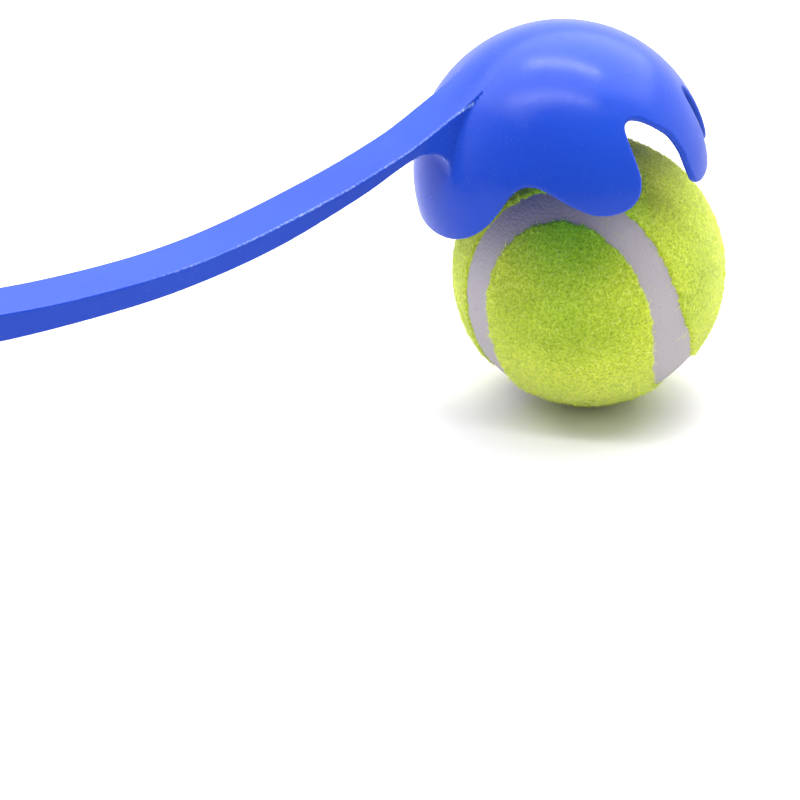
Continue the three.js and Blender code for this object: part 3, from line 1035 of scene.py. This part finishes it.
def buildLauncher(sizes):
    field = CupField(sizes)
    print("cup's field ready")
    patch = Patchwork()
    edge = field.outside + 2 * sizes["cellSize"]
    points, quads = surfaceNet(field, (-edge, -edge, -edge), (sizes["joinAlong"], edge, edge),
                               sizes["cellSize"])
    points, normals = settled(field, points)
    patch.add(points, normals)
    patch.faces += quads.tolist()
    print("cup's net", len(points), len(quads))
    # the net is open only where it meets the arm
    flip = facesInward(points, normals, quads)
    ring = boundaryRing(np.where(flip[:, None], quads[:, ::-1], quads).tolist())
    armRing = buildArm(sizes, patch)
    patch.zipper(sortedRound(patch, ring), sortedRound(patch, armRing))
    mesh = patch.mesh("launcher", launcherToWorld)
    attribute = mesh.attributes.new("cornerDistance", "FLOAT", "POINT")
    attribute.data.foreach_set("value", cornerDistance(sizes, np.vstack(patch.points)))
    print("launcher's mesh", len(mesh.vertices), len(mesh.polygons))
    return mesh


# How far a point on the arm lies from its long corners, which wear first and carry a painted highlight
def cornerDistance(sizes, points):
    a, b, y = points[:, 0], points[:, 1], points[:, 2]
    side = halfWidth(sizes, a) - np.abs(y)
    edge = np.minimum(b - edgeAt(upperEdge, a), edgeAt(lowerEdge, a) - b)
    far = np.hypot(side, edge)
    cupOutside = sizes["ballRadius"] + sizes["ballClearance"] + sizes["cupWall"]
    far[np.linalg.norm(points, axis=1) < cupOutside + sizes["cupMargin"]] = sizes["cornerFar"]
    far += smoothStep(a, sizes["joinAlong"], 2 * sizes["joinAlong"]) * sizes["cornerFade"]
    return np.clip(far, 0, sizes["cornerFar"])


def facesInward(points, normals, quads):
    a, b, c, d = (points[quads[:, i]] for i in range(4))
    return np.einsum("ij,ij->i", np.cross(c - a, d - b), normals[quads].sum(1)) < 0


# Rings in the same sense, seen along the arm
def sortedRound(patch, ring):
    points = np.vstack(patch.points)[ring]
    area = np.sum(points[:, 1] * np.roll(points[:, 2], -1) - points[:, 2] * np.roll(points[:, 1], -1))
    return list(ring) if area > 0 else list(ring)[::-1]


def addPiece(name, mesh, body):
    piece = newObject(name, mesh)
    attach(piece, body)
    return piece


launcherPiece = addPiece("launcher", buildLauncher(launcherSizes), "launcher")
launcherPiece.data.materials.append(plastic)
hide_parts("launcher_body")
print("launcher made")

# Ball in millimetres: felt panels with a ragged nap, the pale seam sunk between them
ballSizes = {
    "radius": 32.5,
    "feltThickness": 2.9,
    "releaseTiltDegrees": 17.0,
    "drop": 28.3,                 # from the cup's centre to where the ball lies
    "turnDegrees": (-4.8, -9.8, 6.0),
    "seamWidth": 8.1,
    "seamSink": 0.5,
    "seamHollow": 0.12,
    "seamTuck": 0.5,              # under the felt on each side
    "seamLift": 0.02,
    "seamLobeShare": 0.197,
    "seamLengthShare": 1.35,      # of the ball's girth
    "wanderRounds": 40,           # one round of softening for so many steps
    "seamWave": (0.35, 0.05),     # scale and height, as for the nap and the swell
    "seamSteps": 560,
    "seamColumns": 12,
    "edgeSpacing": 0.42,
    "edgeRound": 1.5,
    "edgeLean": 0.9,
    "edgeSteps": 7,
    "edgeGapShare": 0.55,
    "edgeNapShare": 0.35,
    "ragged": 0.75,
    "raggedScales": ((0.9, 0.6), (0.25, 0.5)),
    "raggedMost": 0.45,
    "overhang": 0.05,
    "napSpacing": 0.62,
    "floorSpacing": 2.4,
    "nap": (0.9, 0.2),
    "napOctaves": 4,
    "swell": (0.16, 0.08),
}


# The hand-laid seam: share of the way round, shift towards panel B, and what is added to its half width
seamWander = [
    (0.0, 0.0, 0.0), (0.40, 0.0, 0.0), (0.48, 1.0, 0.0), (0.54, 0.0, 0.0), (0.67, 0.5, -0.3),
    (0.74, 0.1, -0.5), (0.77, 0.4, 0.2), (0.80, 0.4, 1.4), (0.84, 0.9, 1.2), (0.93, 0.0, 0.0),
]


# Distance of the seam's edge from its middle line on a panel's side
def seamHalf(sizes, count, pole):
    walked = np.array([place for place, _, _ in seamWander])
    share = np.arange(count) / count
    shift, extra = (np.interp(share, walked, [row[column] for row in seamWander], period=1.0)
                    for column in (1, 2))
    half = sizes["seamWidth"] / 2 + extra - pole * shift
    for _ in range(count // sizes["wanderRounds"]):
        half = (np.roll(half, 1) + 2 * half + np.roll(half, -1)) / 4
    return half


def ballToWorld(values, direction=False):
    x, y, z = (math.radians(value) for value in ballSizes["turnDegrees"])
    turn = Matrix.Rotation(x, 3, "X") @ Matrix.Rotation(y, 3, "Y") @ Matrix.Rotation(z, 3, "Z")
    world = values @ np.array(turn).T
    if not direction:
        lean = math.radians(ballSizes["releaseTiltDegrees"])
        way = np.array([math.sin(lean), 0, -math.cos(lean)])
        centre = launcherToWorld(np.zeros((1, 3)))[0][0]
        world = world * metres + centre + way * ballSizes["drop"] * metres
    return world, False


# The seam's middle line, as directions from the ball's centre
def seamCurve(sizes, count):
    lobe = sizes["seamLobeShare"]
    turn = np.arange(count) / count * 2 * math.pi
    line = np.column_stack([(1 - lobe) * np.cos(turn) + lobe * np.cos(3 * turn),
                            (1 - lobe) * np.sin(turn) - lobe * np.sin(3 * turn),
                            2 * math.sqrt((1 - lobe) * lobe) * np.sin(2 * turn)])
    return unit(spaced(unit(line), 2.0 / count, True))


# Directions across the seam, towards a pole
def acrossSeam(line, pole):
    across = unit(np.cross(line, np.roll(line, -1, 0) - np.roll(line, 1, 0)))
    return -across if pole * np.mean(across[:, 2]) < 0 else across


def roughness(points, scale, octaves=3, fading=0.9, gap=2.1):
    return np.array([fractal(Vector(p) * scale, fading, gap, octaves) for p in points])


# Points on the ball at a distance to one side of a curve on it
def besides(line, across, distance):
    return line * np.cos(distance)[:, None] + across * np.sin(distance)[:, None]


# The ball laid flat from one pole, for what lies inside a loop on it
def flattened(points, pole):
    return np.column_stack([points[:, 0], points[:, 1]]) / (1 + pole * points[:, 2])[:, None]


# Even directions, in a spiral from pole to pole
def ballScatter(radius, spacing):
    count = int(4 * math.pi * radius ** 2 / (spacing ** 2 * rowShare))
    index = np.arange(count) + 0.5
    height = 1 - 2 * index / count
    turn = index * math.pi * (1 + math.sqrt(5))
    across = np.sqrt(1 - height ** 2)
    return np.column_stack([np.cos(turn) * across, np.sin(turn) * across, height])


# Angle from each direction to the nearest one on a line
def nearestOnLine(points, line, block=4000):
    near = np.concatenate([np.max(points[start:start + block] @ line.T, axis=1)
                           for start in range(0, len(points), block)])
    return np.arccos(np.clip(near, -1, 1))


# One dumbbell panel: ragged edge, rounded shoulder, napped top and smooth underside
def feltPanel(sizes, pole, name):
    radius = sizes["radius"]
    patch = Patchwork()
    girth = 2 * math.pi * radius
    line = seamCurve(sizes, int(girth * sizes["seamLengthShare"] / sizes["edgeSpacing"]))
    across = acrossSeam(line, pole)
    half = seamHalf(sizes, len(line), pole)
    edge = besides(line, across, half / radius) * radius
    ragged = sum(roughness(edge, scale) * share for scale, share in sizes["raggedScales"])
    most = sizes["raggedMost"]
    ragged = np.clip(ragged * sizes["ragged"], -most, most) - sizes["overhang"]
    start = (half + ragged) / radius
    rounded = sizes["edgeRound"]
    floor = radius - sizes["feltThickness"]
    shoulder = radius - rounded
    lean = sizes["edgeLean"]
    inner = besides(line, across, start)
    rows = [patch.add(inner * floor, -inner)]
    for sine, cosine in quarterTurn(sizes["edgeSteps"]):
        out = besides(line, across, start + rounded * lean * (1 - cosine) / radius)
        rows.append(patch.add(out * (shoulder + rounded * sine), unit(out * sine - across * cosine)))
    patch.rows(rows, True)
    top = besides(line, across, start + rounded * lean / radius)
    for height, spacing, loop, row, side in ((radius, sizes["napSpacing"], top, rows[-1], 1),
                                             (floor, sizes["floorSpacing"], inner, rows[0], -1)):
        points = ballScatter(radius, spacing)
        points = points[panelSide(points, loop, pole)]
        points = points[nearestOnLine(points, loop) * radius > spacing * sizes["edgeGapShare"]]
        index = patch.add(points * height, points * side)
        patch.fill([list(row)], flattened(loop, pole).tolist(), flattened(points, pole).tolist(), index)
    # a fine nap over a slow swell, less of both down the edge
    napped = np.vstack(patch.points)
    normals = np.vstack(patch.normals)
    far = np.linalg.norm(napped, axis=1)
    outer = far > shoulder
    (napScale, napHeight), (swellScale, swellHeight) = sizes["nap"], sizes["swell"]
    lift = (roughness(napped[outer], napScale, sizes["napOctaves"]) * napHeight
            + roughness(napped[outer], swellScale) * swellHeight)
    shape = mix(sizes["edgeNapShare"], 1, np.clip((far[outer] - shoulder) / rounded, 0, 1))
    napped[outer] += normals[outer] * (lift * shape)[:, None]
    patch.points = [napped]
    return patch.mesh(name, ballToWorld)


# True where a direction lies on the pole's side of the seam
def panelSide(points, edge, pole, block=4000):
    flat = flattened(points, pole)
    loop = flattened(edge[::2], pole)
    return np.concatenate([inside(flat[start:start + block], loop)
                           for start in range(0, len(points), block)])


# The seam's band, dished across its width and tucked under the felt on both sides
def seamBandMesh(sizes):
    patch = Patchwork()
    radius = sizes["radius"]
    line = seamCurve(sizes, sizes["seamSteps"])
    across = acrossSeam(line, 1)
    sideA = seamHalf(sizes, len(line), 1) + sizes["seamTuck"]
    sideB = -seamHalf(sizes, len(line), -1) - sizes["seamTuck"]
    columns = sizes["seamColumns"]
    waveScale, waveHeight = sizes["seamWave"]
    rows = []
    for column in range(columns + 1):
        share = column / columns
        place = besides(line, across, mix(sideA, sideB, share) / radius)
        height = radius - sizes["seamSink"] - sizes["seamHollow"] * (1 - (2 * share - 1) ** 4)
        wave = roughness(place * radius, waveScale) * waveHeight
        rows.append(patch.add(place * (height + wave)[:, None], place))
    under = radius - sizes["feltThickness"] + sizes["seamLift"]
    for side, sense in ((sideB, -1), (sideA, 1)):
        below = besides(line, across, side / radius)
        rows.append(patch.add(below * under, unit(sense * across - below)))
    rows.append(rows[0])
    patch.rows(rows, True)
    return patch.mesh("seamBand", ballToWorld)


# Pale curly fibres that stand out of the felt, scattered by Geometry Nodes; lengths in metres
fuzzSizes = {
    "perSquareMetre": 3.3e6,
    "fibreLength": 0.0013,
    "fibreWidth": 0.00013,
    "curl": 0.34,
    "seed": 11,
}
# A few longer hairs that have strayed on to the seam
hairSizes = {
    "perSquareMetre": 2.2e4,
    "fibreLength": 0.0030,
    "fibreWidth": 0.00006,
    "curl": 0.5,
    "seed": 5,
}

# What all fibres share: how the nap swirls, how far they lean, and how few are long
napSizes = {
    "swirlScale": 210.0,
    "swirlTurn": 18.0,
    "spread": 1.6,
    "lean": (0.75, 1.5),
    "longPower": 5.0,
    "scale": 0.6,
    "longScale": 1.1,
}


# Bent three-sided blades on the outer faces of a piece, leaning and swirling like brushed felt
def fibreTree(material, sizes):
    tree = bpy.data.node_groups.new("feltFibres", "GeometryNodeTree")
    given = {}
    for name, kind in (("base", "Geometry"), ("centre", "Vector"), ("innerRadius", "Float"),
                       ("perSquareMetre", "Float"), ("fibreLength", "Float"), ("fibreWidth", "Float"),
                       ("curl", "Float"), ("seed", "Int")):
        given[name] = tree.interface.new_socket(name, in_out="INPUT", socket_type="NodeSocket" + kind)
    tree.interface.new_socket("fibres", in_out="OUTPUT", socket_type="NodeSocketGeometry")
    n = Nodes(tree)
    source = tree.nodes.new("NodeGroupInput")
    wires = {name: Wire(n, source.outputs[name]) for name in given}
    place = n.node("GeometryNodeInputPosition")
    outer = n.maths("GREATER_THAN", n.measure("DISTANCE", place, wires["centre"]), wires["innerRadius"])
    scatter = n.node("GeometryNodeDistributePointsOnFaces", {"distribute_method": "RANDOM"}, {
        "Mesh": wires["base"], "Selection": outer, "Density": wires["perSquareMetre"],
        "Seed": wires["seed"]})
    upright = Wire(n, scatter.socket.node.outputs["Rotation"])
    blade = n.node("GeometryNodeMeshCone", {"fill_type": "NGON"}, {
        "Vertices": 3, "Side Segments": 2, "Radius Top": 0.0,
        "Radius Bottom": wires["fibreWidth"] * 0.5, "Depth": wires["fibreLength"]})
    height = n.node("ShaderNodeSeparateXYZ", None, {0: place}, out="Z")
    bow = height * height / wires["fibreLength"] * wires["curl"]
    bent = n.node("ShaderNodeCombineXYZ", None, {"X": bow})
    blade = n.node("GeometryNodeSetPosition", None, {"Geometry": blade, "Offset": bent})
    swirl = n.node("ShaderNodeTexNoise", None,
                   {"Vector": place, "Scale": sizes["swirlScale"], "Detail": 1.0})
    spin = swirl * sizes["swirlTurn"] + n.random(-sizes["spread"], sizes["spread"], 3)
    turned = n.turned(upright, n.node("ShaderNodeCombineXYZ", None, {"Z": spin}))
    leaned = n.turned(turned, n.node("ShaderNodeCombineXYZ", None, {"Y": n.random(*sizes["lean"], 5)}))
    longShare = n.random(0.0, 1.0, 7) ** sizes["longPower"]
    placed = n.node("GeometryNodeInstanceOnPoints", None, {
        "Points": scatter, "Instance": blade, "Rotation": leaned,
        "Scale": longShare * sizes["longScale"] + sizes["scale"]})
    real = n.node("GeometryNodeRealizeInstances", None, {0: placed})
    finished = n.node("GeometryNodeSetMaterial", None, {"Geometry": real, "Material": material})
    output = tree.nodes.new("NodeGroupOutput")
    tree.links.new(finished.socket, output.inputs[0])
    return tree, given


def growFibres(panel, name, sizes, tree, given):
    source = newObject(name + "Source", panel.data.copy())
    modifier = source.modifiers.new("fibres", "NODES")
    modifier.node_group = tree
    radius = ballSizes["radius"] - ballSizes["edgeRound"]
    ballPlace = {"centre": ballToWorld(np.zeros((1, 3)))[0][0].tolist(), "innerRadius": radius * metres}
    for key, value in {**sizes, **ballPlace}.items():
        modifier[given[key].identifier] = value
    ready = source.evaluated_get(bpy.context.evaluated_depsgraph_get())
    mesh = bpy.data.meshes.new_from_object(ready)
    mesh.name = name
    bpy.data.objects.remove(source)
    addPiece(name, mesh, "ball")
    print(name, len(mesh.polygons))


fibreNodes, fibreInputs = fibreTree(fibre, napSizes)
for pole, letter in ((1, "a"), (-1, "b")):
    name = "feltPanel" + letter.upper()
    panel = addPiece(name, feltPanel(ballSizes, pole, name), "ball")
    panel.data.materials.append(felt)
    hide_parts("ball_felt_panel_" + letter)
    growFibres(panel, "feltFibres" + letter.upper(), fuzzSizes, fibreNodes, fibreInputs)
seamPiece = addPiece("seamBand", seamBandMesh(ballSizes), "ball")
seamPiece.data.materials.append(seam)
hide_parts("ball_seam_band")
growFibres(seamPiece, "seamHairs", hairSizes, fibreNodes, fibreInputs)
print("ball made")

# White floor and surroundings, in metres; each pair goes from behind the ball to the camera's side,
# and its turn says between which of the directions' cosines it changes
stageSizes = {
    "floorHalf": 1.5,
    "floorColour": (0.80, 0.80, 0.80),
    "seenColour": (0.80, 0.786, 0.825),  # as the camera sees the floor
    "mirrorColour": (0.5, 0.5, 0.5),     # as the plastic mirrors it
    "cameraSide": (-0.39, -0.92, 0.0),
    "cameraAcross": (0.92, -0.39, 0.0),
    "light": (1.0, 0.22),
    "lightTurn": (-0.1, 0.8),
    "sideGain": 0.7,                     # more light from the left and the right
    "sideTurn": (0.3, 0.8),
    "mirror": (1.35, 0.08),
    "mirrorTurn": (-0.3, 0.45),
}


def floorMaterial(sizes):
    s = Shader("whiteFloor")
    lit, seen, mirrored = (s.node("ShaderNodeBsdfDiffuse", None, {"Color": sizes[colour]})
                           for colour in ("floorColour", "seenColour", "mirrorColour"))
    glossy = s.node("ShaderNodeLightPath", out="Is Glossy Ray")
    both = s.node("ShaderNodeMixShader", None, {0: glossy, 1: lit, 2: mirrored})
    camera = s.node("ShaderNodeLightPath", out="Is Camera Ray")
    both = s.node("ShaderNodeMixShader", None, {0: camera, 1: both, 2: seen})
    s.node("ShaderNodeOutputMaterial", None, {"Surface": both})
    return s.material


def buildStage(sizes):
    low = cadBox[0][2]
    half = sizes["floorHalf"]
    corners = [(-half, -half, low), (half, -half, low), (half, half, low), (-half, half, low)]
    mesh = bpy.data.meshes.new("floor")
    mesh.from_pydata(corners, [], [(0, 1, 2, 3)])
    floor = newObject("floor", mesh)
    mesh.materials.append(floorMaterial(sizes))

    world = bpy.data.worlds.new("studio")
    bpy.context.scene.world = world
    world.use_nodes = True
    n = Nodes(world.node_tree)
    n.tree.nodes.clear()
    direction = n.node("ShaderNodeTexCoord", out="Generated")
    front = n.measure("DOT_PRODUCT", direction, sizes["cameraSide"])
    across = n.measure("DOT_PRODUCT", direction, sizes["cameraAcross"])
    lightShade = n.ramp(front, *sizes["light"], *sizes["lightTurn"])
    lightShade = lightShade * (1 + n.ramp(across * across, 0.0, sizes["sideGain"], *sizes["sideTurn"]))
    mirrorShade = n.ramp(front, *sizes["mirror"], *sizes["mirrorTurn"])
    camera = n.node("ShaderNodeLightPath", out="Is Camera Ray")
    mirror = n.maths("MAXIMUM", n.node("ShaderNodeLightPath", out="Is Glossy Ray"),
                     n.node("ShaderNodeLightPath", out="Is Transmission Ray"))
    strength = camera + (1 - camera) * (mirror * mirrorShade + (1 - mirror) * lightShade)
    light = n.node("ShaderNodeBackground", None, {"Color": (1, 1, 1), "Strength": strength})
    n.node("ShaderNodeOutputWorld", None, {"Surface": light})


# A wide softbox overhead and two thin tubes whose streaks show on the cup, in metres and watts
lampSizes = {
    "softbox": {"way": (0.12, 0.31, 0.95), "away": 1.15, "along": (1.0, 0.0, 0.0),
                "length": 2.8, "width": 1.55, "power": 31.0},
    "tube": {"way": (0.12, 0.24, 0.96), "away": 0.80, "along": (0.75, -0.66, 0.0),
             "length": 0.62, "width": 0.026, "power": 2.2},
    "farTube": {"way": (-0.22, -0.16, 0.96), "away": 0.80, "along": (0.83, -0.56, 0.0),
                "length": 0.90, "width": 0.04, "power": 2.3},
}


# A lamp hangs at a direction and distance from the cup's centre and faces it
def hangLamp(name, sizes):
    data = bpy.data.lights.new(name, "AREA")
    data.shape = "RECTANGLE"
    data.size = sizes["length"]
    data.size_y = sizes["width"]
    data.energy = sizes["power"]
    lamp = newObject(name, data)
    away = Vector(sizes["way"]).normalized()
    across = away.cross(Vector(sizes["along"])).normalized()
    cup = Vector(launcherToWorld(np.zeros((1, 3)))[0][0].tolist())
    lamp.matrix_world = standing(cup + away * sizes["away"], across.cross(away), across, away)


buildStage(stageSizes)
for name, sizes in lampSizes.items():
    hangLamp(name, sizes)
bpy.context.scene.view_settings.view_transform = "Standard"
print("stage and lamps set")
